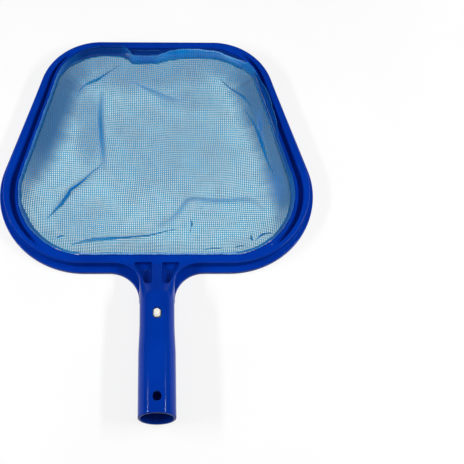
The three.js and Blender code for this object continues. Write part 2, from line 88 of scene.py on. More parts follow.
def add_object(name, data):
    obj = bpy.data.objects.new(name, data)
    bpy.context.scene.collection.objects.link(obj)
    return obj


def new_object(name, points, faces, material, sharp_angle=None):
    mesh = bpy.data.meshes.new(name)
    mesh.from_pydata(place(points).tolist(), [], [list(map(int, f)) for f in faces])
    mesh.validate()
    mesh.update()
    obj = add_object(name, mesh)
    mesh.materials.append(material)
    for poly in mesh.polygons:
        poly.use_smooth = True
    if sharp_angle is not None:
        mesh.set_sharp_from_angle(angle=math.radians(sharp_angle))
    return obj


def loft_faces(rings, count, closed):
    """Quads between rings of count points. Open lofts get an end cap each side."""
    faces = []
    last = rings if closed else rings - 1
    for i in range(last):
        a, b = i * count, ((i + 1) % rings) * count
        for j in range(count):
            k = (j + 1) % count
            faces.append((a + j, b + j, b + k, a + k))
    if not closed:
        faces.append(tuple(range(count)))
        faces.append(tuple(reversed(range((rings - 1) * count, rings * count))))
    return faces


def sheet_faces(rows, count, first=0):
    """Quads over rows of count points, open at every edge. first is the sheet's first point."""
    return [(a, a + 1, a + count + 1, a + count) for i in range(rows - 1)
            for a in range(first + i * count, first + (i + 1) * count - 1)]


def new_solid(name, points, faces, sharp_angle=None):
    """A closed body of the frame's plastic, its faces turned outward."""
    obj = new_object(name, points, faces, BLUE, sharp_angle)
    bm = bmesh.new()
    bm.from_mesh(obj.data)
    bmesh.ops.recalc_face_normals(bm, faces=bm.faces)
    bm.to_mesh(obj.data)
    bm.free()
    return obj


# -------- the rim's stations
# s is the way in mm along the rim's outer edge, from the middle of its foot, and side is 1 on the
# right and -1 on the left.

LOWER_C = np.array([WIDTH / 2 - LOWER_R, FOOT + LOWER_R])
SIDE_A = LOWER_C + LOWER_R * np.array([math.cos(LEAN), math.sin(LEAN)])
SIDE_B_Y = HEAD - UPPER_R * (1 - math.sin(LEAN))
SIDE_LEN = (SIDE_B_Y - SIDE_A[1]) / math.cos(LEAN)
SIDE_B = np.array([SIDE_A[0] - SIDE_LEN * math.sin(LEAN), SIDE_B_Y])
UPPER_C = np.array([SIDE_B[0] - UPPER_R * math.cos(LEAN), HEAD - UPPER_R])
S_FOOT = LOWER_C[0]
S_WIDEST = S_FOOT + LOWER_R * math.pi / 2
S_SIDE = S_WIDEST + LOWER_R * LEAN
S_UPPER = S_SIDE + SIDE_LEN
S_LEAD = S_UPPER + UPPER_R * (math.pi / 2 - LEAN)
S_END = S_LEAD + UPPER_C[0]
PLACES = (S_FOOT, S_WIDEST, S_SIDE, S_UPPER, S_LEAD)


def rim_width(s):
    return np.interp(s, PLACES, RIM_W)


def station(s, side):
    """Point on the rim's outer edge and the inward direction."""
    if s <= S_FOOT:
        p, n = (s, FOOT), (0.0, 1.0)
    elif s <= S_SIDE:
        a = -math.pi / 2 + (s - S_FOOT) / LOWER_R
        p = LOWER_C + LOWER_R * np.array([math.cos(a), math.sin(a)])
        n = (-math.cos(a), -math.sin(a))
    elif s <= S_UPPER:
        p = SIDE_A + (SIDE_B - SIDE_A) * (s - S_SIDE) / SIDE_LEN
        n = (-math.cos(LEAN), -math.sin(LEAN))
    elif s <= S_LEAD:
        a = LEAN + (s - S_UPPER) / UPPER_R
        p = UPPER_C + UPPER_R * np.array([math.cos(a), math.sin(a)])
        n = (-math.cos(a), -math.sin(a))
    else:
        p, n = (UPPER_C[0] - (s - S_LEAD), HEAD), (0.0, -1.0)
    return np.array([side * p[0], p[1]]), np.array([side * n[0], n[1]])


def loop_stations(counts):
    """Stations all the way round. counts goes with the stretches of one side, from the foot."""
    ends = (0.0, S_FOOT, S_SIDE, S_UPPER, S_LEAD, S_END)
    half = [0.0]
    for i, count in enumerate(counts):
        half += list(np.linspace(ends[i], ends[i + 1], count + 1)[1:])
    return [(s, 1) for s in half] + [(s, -1) for s in reversed(half[1:-1])]


# -------- materials


class Nodes:
    """Short names for building the nodes of a material, or of the world."""

    def __init__(self, block, kind="Material"):
        block.use_nodes = True
        self.block, self.tree = block, block.node_tree
        self.tree.nodes.clear()
        self.out = self.node("Output" + kind)
        self.coords = None

    def node(self, kind, **inputs):
        n = self.tree.nodes.new("ShaderNode" + kind)
        for key, value in inputs.items():
            self.put(n.inputs[key.replace("_", " ")], value)
        return n

    def put(self, socket, value):
        if isinstance(value, bpy.types.NodeSocket):
            self.tree.links.new(value, socket)
        elif value is not None:
            socket.default_value = value

    def math(self, op, a, b=None, clamp=False):
        n = self.node("Math")
        n.operation = op
        n.use_clamp = clamp
        self.put(n.inputs[0], a)
        self.put(n.inputs[1], b)
        return n.outputs[0]

    def place(self):
        if self.coords is None:
            self.coords = self.node("TexCoord")
        return self.coords.outputs["Object"]

    def uv(self, name):
        n = self.node("UVMap")
        n.uv_map = name
        return n.outputs[0]

    def noise(self, scale, detail=2.0, vector=None):
        n = self.node("TexNoise", Scale=scale, Detail=detail)
        self.put(n.inputs["Vector"], vector or self.place())
        return n.outputs[0]

    def stretched(self, vector, scale):
        n = self.node("Mapping", Scale=(scale[0], scale[1], 1.0))
        self.put(n.inputs["Vector"], vector)
        return n.outputs[0]

    def mix(self, fac, a, b):
        n = self.node("Mix")
        n.data_type = "RGBA"
        factor, first, second = n.inputs[0], n.inputs[6], n.inputs[7]
        self.put(factor, fac)
        self.put(first, a)
        self.put(second, b)
        return n.outputs[2]

    def range(self, value, a, b, low=0.0, high=1.0):
        """value from a..b to low..high, held at the ends."""
        n = self.node("MapRange")
        for i, v in enumerate((value, a, b, low, high)):
            self.put(n.inputs[i], v)
        return n.outputs[0]

    def attribute(self, name):
        n = self.node("Attribute")
        n.attribute_name = name
        return n.outputs["Fac"]

    def bump(self, height, strength, distance, normal=None):
        return self.node("Bump", Height=height, Strength=strength, Distance=distance,
                         Normal=normal).outputs[0]

    def mix_shaders(self, fac, first, second):
        n = self.node("MixShader", Fac=fac)
        self.put(n.inputs[1], first.outputs[0])
        self.put(n.inputs[2], second.outputs[0])
        return n

    def finish(self, shader):
        self.put(self.out.inputs[0], shader.outputs[0])
        return self.block


def srgb(r, g, b):
    def lin(c):
        c /= 255
        return c / 12.92 if c <= 0.04045 else ((c + 0.055) / 1.055) ** 2.4
    return (lin(r), lin(g), lin(b), 1.0)


def plastic_material(name, dark, light, worn, roughness, edge_radius):
    """Glossy moulding: slow tone drift, faint flow marks, soft skin texture and rubbed edges."""
    drift_scale, flow_scale, scuff_scale, skin_scale = 22.0, 260.0, 420.0, 1500.0
    flow_stretch = (1.0, 0.12)
    m = Nodes(bpy.data.materials.new(name))
    tone = m.mix(m.range(m.noise(drift_scale, 3.0), 0.35, 0.65), dark, light)
    flow = m.noise(flow_scale, 2.0, m.stretched(m.place(), flow_stretch))
    # Where the rounded normal leaves the face's own, the surface is an edge.
    bevel = m.node("Bevel", Radius=edge_radius)
    bevel.samples = 6
    dot = m.node("VectorMath")
    dot.operation = "DOT_PRODUCT"
    m.put(dot.inputs[0], bevel.outputs[0])
    m.put(dot.inputs[1], m.node("NewGeometry").outputs["Normal"])
    edge = m.range(dot.outputs["Value"], 0.99, 0.8)
    rubbed = m.math("MULTIPLY", edge, m.range(m.noise(scuff_scale, 3.0), 0.35, 0.7, 0.1, 0.45))
    rough = m.math("ADD", m.range(flow, 0.3, 0.7, roughness - 0.03, roughness + 0.05),
                   m.math("MULTIPLY", rubbed, 0.15))
    skin = m.bump(m.noise(skin_scale), 0.05, 0.0001, bevel.outputs[0])
    return m.finish(m.node("BsdfPrincipled", Base_Color=m.mix(rubbed, tone, worn), Roughness=rough,
                           IOR=1.2, Specular_Tint=(0.75, 0.88, 1.0, 1.0),
                           Normal=m.bump(flow, 0.04, 0.0002, skin)))


def weave(m, uv, pitch, thread):
    """Warp and weft threads on a UV map in metres: cover, height and which of the two crosses
    over. Slubs make the threads thicker and thinner, and "open" draws them apart."""
    along_slub, across_slub = 60.0, 900.0
    thin, thick, drawn_thin, edge_sharpness = 0.42, 0.58, 0.6, 12.0
    split = m.node("SeparateXYZ", Vector=uv)
    waves, covers, cell = [], [], []
    for axis in (0, 1):
        turn = m.math("MULTIPLY", split.outputs[axis], 1.0 / pitch)
        cell.append(m.math("FLOOR", turn))
        local = m.math("ABSOLUTE", m.math("SUBTRACT", m.math("FRACT", turn), 0.5))
        stretch = (across_slub, along_slub) if axis else (along_slub, across_slub)
        slub = m.noise(1.0, 1.0, m.stretched(uv, stretch))
        half = m.range(slub, 0.3, 0.7, thread / pitch * thin, thread / pitch * thick)
        half = m.math("MULTIPLY", half, m.range(m.attribute("open"), 0.0, 1.0, 1.0, drawn_thin))
        covers.append(m.math("MULTIPLY", m.math("SUBTRACT", half, local), edge_sharpness, True))
        waves.append(m.math("SUBTRACT", 1.0, m.math("DIVIDE", local, half), True))
    cover = m.math("MAXIMUM", covers[0], covers[1])
    height = m.math("MAXIMUM", waves[0], waves[1])
    parity = m.math("PINGPONG", m.math("ADD", cell[0], cell[1]), 1.0)
    return cover, height, parity


def cloth_material(name, pitch, thread, see_through, dark, light, shadow, deep, line):
    """Open woven cloth on the UV map "cloth". On the mesh, shade is painted shade, which darkens the
    cloth towards the shadow colour, deep a fold's blue, pale a light frayed edge in the line colour
    that is partly a painted highlight, dense how far the gaps are closed, and open where the
    threads are drawn apart."""
    patch_scale = 45.0
    m = Nodes(bpy.data.materials.new(name))
    cover, height, parity = weave(m, m.uv("cloth"), pitch, thread)
    tone = m.mix(m.range(m.noise(patch_scale), 0.3, 0.7), dark, light)
    # Painted shade: the cloth darkens towards the shadow colour where its shade is high.
    tone = m.mix(m.attribute("shade"), tone, shadow)
    tone = m.mix(m.attribute("deep"), tone, deep)
    # Painted shade on the weave: each thread is darker towards its edges, and alternate crossings are
    # darker or lighter.
    lit = m.node("VectorMath")
    lit.operation = "SCALE"
    m.put(lit.inputs[0], tone)
    m.put(lit.inputs["Scale"], m.math("MULTIPLY", m.range(height, 0.0, 1.0, 0.5, 1.2),
                                      m.range(parity, 0.0, 1.0, 0.9, 1.08)))
    # pale mixes in the line colour: a light frayed edge, partly a painted highlight.
    colour = m.mix(m.attribute("pale"), lit.outputs[0], line)
    gloss = (0.3, 0.7, 1.0, 1.0)
    cloth = m.node("BsdfPrincipled", Base_Color=colour, Normal=m.bump(height, 0.5, 0.0002),
                   Roughness=0.6, Sheen_Weight=0.05, Sheen_Tint=gloss,
                   Specular_IOR_Level=0.25, Specular_Tint=gloss)
    soft = m.mix_shaders(see_through, cloth, m.node("BsdfTranslucent", Color=colour))
    # The gaps tint what shows through them blue: painted light standing in for the bluish light under
    # the cloth.
    clear = m.node("BsdfTransparent", Color=(0.82, 0.95, 0.97, 1.0))
    filled = m.math("MAXIMUM", cover, m.attribute("dense"))
    return m.finish(m.mix_shaders(filled, clear, soft))


def nylon_material(name):
    """Satin white nylon with a faint mottle and fine grain."""
    mottle_scale, sheen_scale, grain_scale = 160.0, 300.0, 1800.0
    m = Nodes(bpy.data.materials.new(name))
    tone = m.mix(m.range(m.noise(mottle_scale), 0.35, 0.65),
                 srgb(238, 235, 222), srgb(250, 249, 244))
    return m.finish(m.node("BsdfPrincipled", Base_Color=tone,
                           Normal=m.bump(m.noise(grain_scale), 0.06, 0.0001),
                           Roughness=m.range(m.noise(sheen_scale), 0.3, 0.7, 0.3, 0.4),
                           Subsurface_Weight=0.12, Subsurface_Scale=0.002))


def cord_material(name):
    """Twisted cord: diagonal bands stand for its lay."""
    m = Nodes(bpy.data.materials.new(name))
    lay = m.node("TexWave", Scale=900.0, Distortion=0.4)
    lay.bands_direction = "DIAGONAL"
    m.put(lay.inputs["Vector"], m.place())
    twist = lay.outputs["Fac"]
    return m.finish(m.node("BsdfPrincipled", Roughness=0.7, Normal=m.bump(twist, 0.6, 0.0002),
                           Base_Color=m.mix(twist, srgb(30, 84, 150), srgb(70, 128, 190))))


BLUE = plastic_material("royal_blue_plastic", srgb(0, 49, 156), srgb(0, 56, 169),
                        worn=(0.03, 0.13, 0.5, 1.0), roughness=0.09, edge_radius=0.0005)
NYLON = nylon_material("white_nylon")
CORD = cord_material("bead_cord_cloth")
NET = cloth_material("net_weave", pitch=0.002, thread=0.00092, see_through=0.3,
                     dark=srgb(18, 146, 194), light=srgb(36, 174, 220), shadow=srgb(12, 114, 183),
                     deep=srgb(10, 136, 236), line=srgb(150, 205, 240))
HEM = cloth_material("hem_weave", pitch=0.0018, thread=0.00104, see_through=0.2,
                     dark=srgb(4, 116, 216), light=srgb(16, 152, 238), shadow=srgb(6, 90, 186),
                     deep=srgb(0, 54, 150), line=srgb(136, 196, 255))

# -------- camera, floor and lights

# In pixels: the photograph's width, its focal length, and how far left of its middle the axis is.
PICTURE, FOCAL, ASIDE = 464, 1762.2, 75
ELEVATION = math.radians(65)
DISTANCE, LOOKED_AT = 1.707, (0, -0.0054, 0)
SENSOR = 36.0
FLOOR_GREYS, FLOOR_GLOW, FLOOR_HALF, FLOOR_DROP = (0.23, 0.25), 0.76, 14, 0.0002
# The world fades from the pale horizon to a dim sky between these heights of a direction.
HORIZON, SKY, HORIZON_LIGHT, SKY_LIGHT = 0.045, 0.085, 0.8, 0.12
# Name, place, aim, width and length, power.
SOFTBOXES = [
    ("softbox_left", (-1.0, -0.1, 0.68), (0, -0.03, 0), (0.08, 0.72), 9.8),
    ("softbox_right", (0.95, -0.1, 0.78), (0, -0.03, 0), (0.08, 0.72), 9.8),
    ("softbox_front", (0, -0.75, 1.95), (0, 0, 0), (1.2, 0.6), 4.4),
]


def make_camera():
    """The photograph's camera: in the object's middle plane, turned a little to the right of it."""
    yaw = math.atan(ASIDE / FOCAL)
    ahead = Vector((0, math.cos(ELEVATION), -math.sin(ELEVATION)))
    side = Vector((1, 0, 0))
    up = Vector((0, math.sin(ELEVATION), math.cos(ELEVATION)))
    look = math.cos(yaw) * ahead + math.sin(yaw) * side
    right = math.cos(yaw) * side - math.sin(yaw) * ahead
    data = bpy.data.cameras.new("camera")
    data.sensor_fit = "HORIZONTAL"
    data.sensor_width = SENSOR
    data.lens = SENSOR * FOCAL / PICTURE
    data.clip_start, data.clip_end = 0.05, 60
    camera = add_object("camera", data)
    turn = Matrix((right, up, -look)).transposed().to_4x4()
    camera.matrix_world = Matrix.Translation(Vector(LOOKED_AT) - DISTANCE * ahead) @ turn
    bpy.context.scene.camera = camera


def seen_by_eye(m):
    """1 for rays that the camera, a gloss or a clear body sends, 0 for light."""
    path = m.node("LightPath")
    either = m.math("MAXIMUM", path.outputs["Is Camera Ray"], path.outputs["Is Glossy Ray"])
    return m.math("MAXIMUM", either, path.outputs["Is Transmission Ray"])


def make_floor():
    """A pale table that keeps the object's shadow and throws little light back on it."""
    m = Nodes(bpy.data.materials.new("pale_floor"))
    low, high = ((grey, grey, grey, 1) for grey in FLOOR_GREYS)
    matt = m.node("BsdfDiffuse", Color=m.mix(m.range(m.noise(6.0, 2.0), 0.3, 0.7), low, high))
    glow = m.node("Emission", Color=(1, 1, 1, 1),
                  Strength=m.math("MULTIPLY", seen_by_eye(m), FLOOR_GLOW))
    both = m.node("AddShader")
    m.put(both.inputs[0], matt.outputs[0])
    m.put(both.inputs[1], glow.outputs[0])
    mesh = bpy.data.meshes.new("floor")
    h = FLOOR_HALF
    mesh.from_pydata([(-h, -h, 0), (h, -h, 0), (h, h, 0), (-h, h, 0)], [], [(0, 1, 2, 3)])
    mesh.materials.append(m.finish(both))
    floor = add_object("floor", mesh)
    floor.location.z = -FLOOR_DROP


def make_world():
    world = bpy.data.worlds.new("studio")
    bpy.context.scene.world = world
    m = Nodes(world, "World")
    split = m.node("SeparateXYZ", Vector=m.node("TexCoord").outputs["Generated"])
    level = m.node("MapRange")
    level.interpolation_type = "SMOOTHSTEP"
    for i, value in enumerate((split.outputs[2], HORIZON, SKY, HORIZON_LIGHT, SKY_LIGHT)):
        m.put(level.inputs[i], value)
    m.finish(m.node("Background", Color=(1, 1, 1, 1), Strength=level.outputs[0]))


def area_light(name, location, target, size, power):
    """A rectangular lamp whose length lies along the object."""
    data = bpy.data.lights.new(name, "AREA")
    data.shape = "RECTANGLE"
    data.size, data.size_y = size
    data.energy = power
    ahead = (Vector(target) - Vector(location)).normalized()
    across = Vector((0, 1, 0)).cross(-ahead).normalized()
    up = (-ahead).cross(across)
    turn = Matrix((across, up, -ahead)).transposed().to_4x4()
    add_object(name, data).matrix_world = Matrix.Translation(location) @ turn


make_camera()
make_floor()
make_world()
for softbox in SOFTBOXES:
    area_light(*softbox)

# -------- frame moulding


def rounded_ring(corners, radii, steps):
    """A closed outline with every corner rounded, always with steps + 1 points a corner."""
    least_half, least_reach, most_share = 1e-3, 0.02, 0.42
    pts = np.asarray(corners, float)
    out = []
    n = len(pts)
    for i in range(n):
        before, here, after = pts[i - 1], pts[i], pts[(i + 1) % n]
        a, b = before - here, after - here
        la, lb = np.linalg.norm(a), np.linalg.norm(b)
        cos = np.clip(np.dot(a, b) / (la * lb), -1, 1)
        half = max(math.acos(cos) / 2, least_half)
        reach = min(max(radii[i] / math.tan(half), least_reach), most_share * la, most_share * lb)
        start, end = here + a / la * reach, here + b / lb * reach
        for k in range(steps + 1):
            t = k / steps
            out.append((1 - t) ** 2 * start + 2 * t * (1 - t) * here + t * t * end)
    return out


def groove_depth(s):
    opens = smooth(s, S_FOOT + GROOVE_STARTS[0], S_FOOT + GROOVE_STARTS[1])
    return GROOVE_D * opens * (1 - smooth(s, S_UPPER + GROOVE_ENDS[0], S_UPPER + GROOVE_ENDS[1]))


def rim_ring(s, side):
    """The rim's section at a station: foot, flange, groove in the top, and slot in the inner wall."""
    underside, flange_round, step, shoulder, groove_round, inner = 0.7, 0.9, 0.5, 1.3, 0.8, 1.1
    slot_mouth, slot_back = 0.3, 0.2
    width = float(rim_width(s))
    flange = float(np.interp(s, PLACES, FLANGE_W))
    g_in = width - INNER_RIDGE
    g_out = g_in - float(np.interp(s, PLACES, GROOVE_W))
    draft = min(GROOVE_DRAFT, (g_in - g_out) / 4)
    depth = float(groove_depth(s))
    floor = RIM_H - depth
    corners = [
        (0, 0), (0, FLANGE_H), (flange, FLANGE_H), (flange + DRAFT, RIM_H),
        (g_out, RIM_H), (g_out + draft, floor), (g_in - draft, floor), (g_in, RIM_H),
        (width, RIM_H), (width, SLOT_HIGH), (width - SLOT_IN, SLOT_HIGH),
        (width - SLOT_IN, SLOT_LOW), (width, SLOT_LOW), (width, 0)]
    lip = groove_round * min(1.0, depth / 2)
    radii = [underside, min(flange_round, flange / 2), step, shoulder,
             lip, groove_round, groove_round, lip,
             inner, slot_mouth, slot_back, slot_back, slot_mouth, underside]
    point, inward = station(s, side)
    return [(*(point + inward * inset), z) for inset, z in rounded_ring(corners, radii, 5)]


def make_rim():
    rings = [rim_ring(s, side) for s, side in loop_stations((16, 72, 44, 56, 26))]
    faces = loft_faces(len(rings), len(rings[0]), True)
    return new_solid("rim", np.concatenate(rings), faces, 50)


def socket_radius(y):
    slow = mix(MOUTH_R, MIDDLE_R, np.clip(y / MIDDLE_AT, 0, 1))
    return np.where(y < MIDDLE_AT, slow, mix(MIDDLE_R, NECK_R, smooth(y, MIDDLE_AT, WAIST_AT)))


def make_socket(sides=128):
    """The tube, open at the mouth, turned from its outer and inner profile."""
    lip, inner_lip, lip_steps = 0.9, 0.7, 6
    near_axis, end_run, end_bevel, bore_taper = 0.02, 2.5, 1.0, 1.5
    quarter = [math.pi / 2 * k / lip_steps for k in range(lip_steps + 1)]
    profile = [(MOUTH_R - lip + lip * math.sin(a), lip - lip * math.cos(a)) for a in quarter]
    for y in np.arange(3.0, SOCKET + 0.1, 2.5):
        profile.append((float(socket_radius(y)), y))
    profile += [(NECK_R, SOCKET), (NECK_R - end_bevel, SOCKET + 2.0), (near_axis, SOCKET + end_run)]
    inner = [(near_axis, BORE_END), (NECK_R - WALL - bore_taper, BORE_END)]
    for y in np.arange(BORE_END - 2.0, 2.0, -3.0):
        inner.append((float(socket_radius(y)) - WALL, y))
    inner += [(MOUTH_R - WALL + inner_lip - inner_lip * math.cos(a),
               inner_lip - inner_lip * math.sin(a)) for a in quarter]
    outline = profile + inner
    points = []
    for i in range(sides):
        a = 2 * math.pi * i / sides
        for r, y in outline:
            points.append((r * math.cos(a), y, AXIS_Z + r * math.sin(a)))
    count, last_outer = len(outline), len(profile) - 1
    faces = []
    for i in range(sides):
        a, b = i * count, ((i + 1) % sides) * count
        for j in range(count):
            k = (j + 1) % count
            if j != last_outer:
                faces.append((a + j, a + k, b + k, b + j))
    outer_end = [i * count + last_outer for i in range(sides)]
    inner_end = [i * count + len(profile) for i in range(sides)]
    faces += [tuple(outer_end), tuple(reversed(inner_end))]
    return new_solid("socket", points, faces, 40)


NECK_CX, NECK_CY = NECK_R + GAP + FILLET, RIDGE - FILLET
SLOPE_EASE = 0.08
ROUND_POWER, SQUARE_POWER, SQUARE_WITHIN = 2, 18, 14


def neck_half(y):
    """Half the neck's width, which widens in a fillet towards the rim."""
    if y <= NECK_CY:
        return NECK_R + GAP * (y - SOCKET) / (NECK_CY - SOCKET)
    rise = min(y - NECK_CY, FILLET)
    return NECK_CX - math.sqrt(max(FILLET ** 2 - rise ** 2, 0.0))


def neck_top(y):
    """The top runs down to the ridge in a straight slope, eased over a short way at both ends."""
    t, ease = float(np.clip((y - SOCKET) / (RIDGE - SOCKET), 0, 1)), SLOPE_EASE

    def run(u):
        return u * u / (2 * ease) if u < ease else u - ease / 2
    fall = run(t) if t <= 0.5 else 1 - ease - run(1 - t)
    return mix(MOUTH_R + NECK_R, RIM_H, fall / (1 - ease))


def neck_ring(y, sides):
    """The neck's section: round at the socket, nearly square at the rim."""
    share = float(smooth(y, SOCKET, RIDGE))
    low = float(smooth(y, SOCKET, SOCKET + SQUARE_WITHIN))
    half = neck_half(y)
    shoulder = mix(MOUTH_R, RIM_H - EDGE, share)
    top_power = 2 / mix(ROUND_POWER, SQUARE_POWER, share ** 5)
    low_power = 2 / mix(ROUND_POWER, SQUARE_POWER, low)
    bottom = mix(MOUTH_R - NECK_R, 0.0, low)
    ring = []
    for i in range(sides):
        a = 2 * math.pi * i / sides
        is_top = i <= sides / 2
        power = top_power if is_top else low_power
        across, up = math.cos(a), abs(math.sin(a))
        ring.append((half * math.copysign(abs(across) ** power, across), y,
                     mix(shoulder, neck_top(y) if is_top else bottom, up ** power)))
    return ring


def make_neck(sides=144, count=64):
    """The neck, with a short overlap into the socket and into the rim."""
    into_socket, into_rim = 0.4, 2.0
    first = SOCKET - into_socket
    ys = [mix(first, RIDGE, math.sin(i / count * math.pi / 2)) for i in range(count + 1)]
    rings = [neck_ring(max(y, SOCKET), sides) for y in ys]
    rings[0] = [(x, first, z) for x, _, z in rings[0]]
    rings.append([(x, RIDGE + into_rim, z) for x, _, z in rings[-1]])
    faces = loft_faces(len(rings), sides, False)
    return new_solid("neck", np.concatenate(rings), faces, 45)


def prism(name, outline, low, high, inset_low=0.0):
    """A prism on an outline. low and high are heights, or functions of y."""
    outline = np.asarray(outline, float)
    middle = outline.mean(axis=0)
    n = len(outline)
    points = []
    for level, inset in ((low, inset_low), (high, 0.0)):
        for p in outline:
            q = p + (middle - p) / max(np.linalg.norm(middle - p), 1e-6) * inset
            points.append((q[0], q[1], level(q[1]) if callable(level) else level))
    faces = [tuple(reversed(range(n))), tuple(range(n, 2 * n))]
    faces += [(i, (i + 1) % n, n + (i + 1) % n, n + i) for i in range(n)]
    return new_solid(name, points, faces)


def make_neck_flange():
    """The low flange carried down both sides of the neck, its end corners and top edge rounded."""
    corner, corner_steps, fillet_steps = 4.0, 8, 40
    top_round, top_steps, foot_bevel, into_rim = 1.0, 5, 0.5, 0.5
    half = NECK_R + OVERHANG
    cx, cy = half + FLANGE_FILLET, FOOT - FLANGE_FILLET
    right = []
    for i in range(corner_steps + 1):
        a = -math.pi / 2 * (1 - i / corner_steps)
        right.append((half - corner + corner * math.cos(a), SOCKET + corner + corner * math.sin(a)))
    for i in range(fillet_steps + 1):
        a = math.pi - i / fillet_steps * math.pi / 2
        right.append((cx + FLANGE_FILLET * math.cos(a), cy + FLANGE_FILLET * math.sin(a)))
    right.append((cx, RIDGE + into_rim))
    outline = np.array(right + [(-x, y) for x, y in reversed(right)])
    side = np.roll(outline, -1, axis=0) - np.roll(outline, 1, axis=0)
    side /= np.linalg.norm(side, axis=1)[:, None]
    out = np.column_stack([side[:, 1], -side[:, 0]])

    def ring(inset, z):
        return [(p[0] - o[0] * inset, p[1] - o[1] * inset, z) for p, o in zip(outline, out)]
    rings = [ring(foot_bevel, 0.0), ring(0.0, foot_bevel)]
    for k in range(top_steps + 1):
        a = math.pi / 2 * k / top_steps
        rings.append(ring(top_round * (1 - math.cos(a)),
                          FLANGE_H - top_round + top_round * math.sin(a)))
    faces = loft_faces(len(rings), len(outline), False)
    return new_solid("neck_flange", np.concatenate(rings), faces, 40)


def oblong(width, length, at, steps=14):
    """A round-ended hole's outline. The length runs along y, with its middle at at."""
    r, straight = width / 2, length / 2 - width / 2
    pts = []
    for sign, start in ((1, 0.0), (-1, math.pi)):
        for k in range(steps + 1):
            a = start + math.pi * k / steps
            pts.append((r * math.cos(a), at + sign * straight + r * math.sin(a)))
    return pts


POCKET_TOP = RIDGE + 1.2
POCKET_FOOT = POCKET_TOP - 28.0
POCKET_INNER, POCKET_ROUND = 4.1, 2.4
POCKET_EDGE_FOOT, POCKET_EDGE_TOP = 5.6, 4.0
POCKET_DEPTH_FOOT, POCKET_DEPTH_TOP = 8.0, 5.0
# The ejector pin's witness mark on a pocket's floor.
MARK_AT, MARK_R, MARK_DEPTH, MARK_SIDES = (9.6, FOOT - 3.0), 2.9, 0.25, 32
# The hollow under the neck, on each side of its rib.
HOLLOW_INNER, HOLLOW_WALL, HOLLOW_H = 3.7, 3, 7.0
HOLLOW_FIRST, HOLLOW_LAST, HOLLOW_STEPS = SOCKET + 6, RIDGE - 3, 12


def pocket_outline(side):
    corners = [(POCKET_INNER, POCKET_FOOT),
               (neck_half(POCKET_FOOT) - POCKET_EDGE_FOOT, POCKET_FOOT),
               (neck_half(POCKET_TOP - 5.0) - POCKET_EDGE_TOP, POCKET_TOP),
               (POCKET_INNER, POCKET_TOP)]
    outline = [(side * x, y) for x, y in rounded_ring(corners, [POCKET_ROUND] * 4, 6)]
    return outline if side > 0 else outline[::-1]


def pocket_floor(y):
    t = (y - POCKET_FOOT) / (POCKET_TOP - POCKET_FOOT)
    return mix(neck_top(POCKET_FOOT) - POCKET_DEPTH_FOOT, neck_top(POCKET_TOP) - POCKET_DEPTH_TOP, t)


def make_mark(side):
    """A shallow disc to cut into a pocket's floor."""
    turns = [2 * math.pi * k / MARK_SIDES for k in range(MARK_SIDES)]
    pts = [(side * MARK_AT[0] + MARK_R * math.cos(a), MARK_AT[1] + MARK_R * math.sin(a))
           for a in turns]
    return prism("mark", pts, lambda y: pocket_floor(y) - MARK_DEPTH, lambda y: pocket_floor(y) + 1.0)


def hollow_outline(side):
    outline = [(side * HOLLOW_INNER, HOLLOW_FIRST)]
    for i in range(HOLLOW_STEPS + 1):
        y = mix(HOLLOW_FIRST, HOLLOW_LAST, i / HOLLOW_STEPS)
        outline.append((side * (neck_half(y) - HOLLOW_WALL), y))
    return outline + [(side * HOLLOW_INNER, HOLLOW_LAST)]


def combine(target, tool, operation="DIFFERENCE"):
    """Join the tool to the target, or cut it out, and drop the tool."""
    mod = target.modifiers.new("combine", "BOOLEAN")
    mod.operation = operation
    mod.solver = "MANIFOLD"
    mod.object = tool
    bpy.context.view_layer.update()
    graph = bpy.context.evaluated_depsgraph_get()
    mesh = bpy.data.meshes.new_from_object(target.evaluated_get(graph))
    target.modifiers.clear()
    old = target.data
    target.data = mesh
    bpy.data.meshes.remove(old)
    spare = tool.data
    bpy.data.objects.remove(tool)
    bpy.data.meshes.remove(spare)


def make_frame():
    body = make_rim()
    for part in (make_neck_flange(), make_neck(), make_socket()):
        combine(body, part, "UNION")
    for hole in (POLE_HOLE, CLIP_HOLE):
        combine(body, prism("hole", oblong(*hole), UNDER, ABOVE))
    for side in (1, -1):
        combine(body, prism("pocket", pocket_outline(side), pocket_floor, ABOVE, 0.5))
        combine(body, make_mark(side))
        combine(body, prism("hollow", hollow_outline(side), -0.5, HOLLOW_H))
    for poly in body.data.polygons:
        poly.use_smooth = True
    body.data.set_sharp_from_angle(angle=math.radians(36))
    body.name = body.data.name = "frame_shell"
    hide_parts("frame_moulding")
    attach(body, "head")
    return body


frame_shell = make_frame()

# -------- hem
# Where its edges run on each side: s, inward offset from the ridge's edge, height. The free edge is
# the cloth's cut edge, and the fold is where the band meets the bag.

FREE = {
    1: [(0, 0.6, 12.95), (70, 0.6, 12.95), (84, -0.3, 13.3), (150, -0.3, 13.3), (230, -0.3, 13.3),
        (262, -0.4, 13.3), (276, -2.5, 13.5), (286, -4.6, 13.6), (297, -5.2, 13.6),
        (309, -6.0, 13.6), (321, -5.6, 13.7), (333, -3.0, 13.7), (342, -1.6, 13.7),
        (352, -1.6, 13.7), (361, -0.8, 13.6), (368, 2.0, 13.2), (377, 4.6, 12.6), (390, 5.6, 12.2),
        (409, 4.0, 12.6), (425, 2.0, 13.0), (440, 1.6, 12.6), (452, 3.0, 11.6), (459, 6.0, 10.6),
        (465.7, 8.2, 9.6)],
    -1: [(0, 0.6, 12.95), (68, 0.6, 12.95), (82, -0.3, 13.3), (170, -0.5, 13.35),
         (330, -0.5, 13.35), (372, -0.3, 13.4), (388, -0.1, 13.4), (401, -0.1, 13.4),
         (408, -0.6, 13.6), (414, -1.1, 13.7), (421, -1.8, 13.8), (427, -2.2, 13.8),
         (432, -1.2, 13.6), (435, 0.6, 13.0), (438, 4.4, 11.8), (440.5, 8.0, 10.6),
         (443, 8.8, 10.2), (452, 8.9, 9.6), (465.7, 8.2, 9.6)],
}
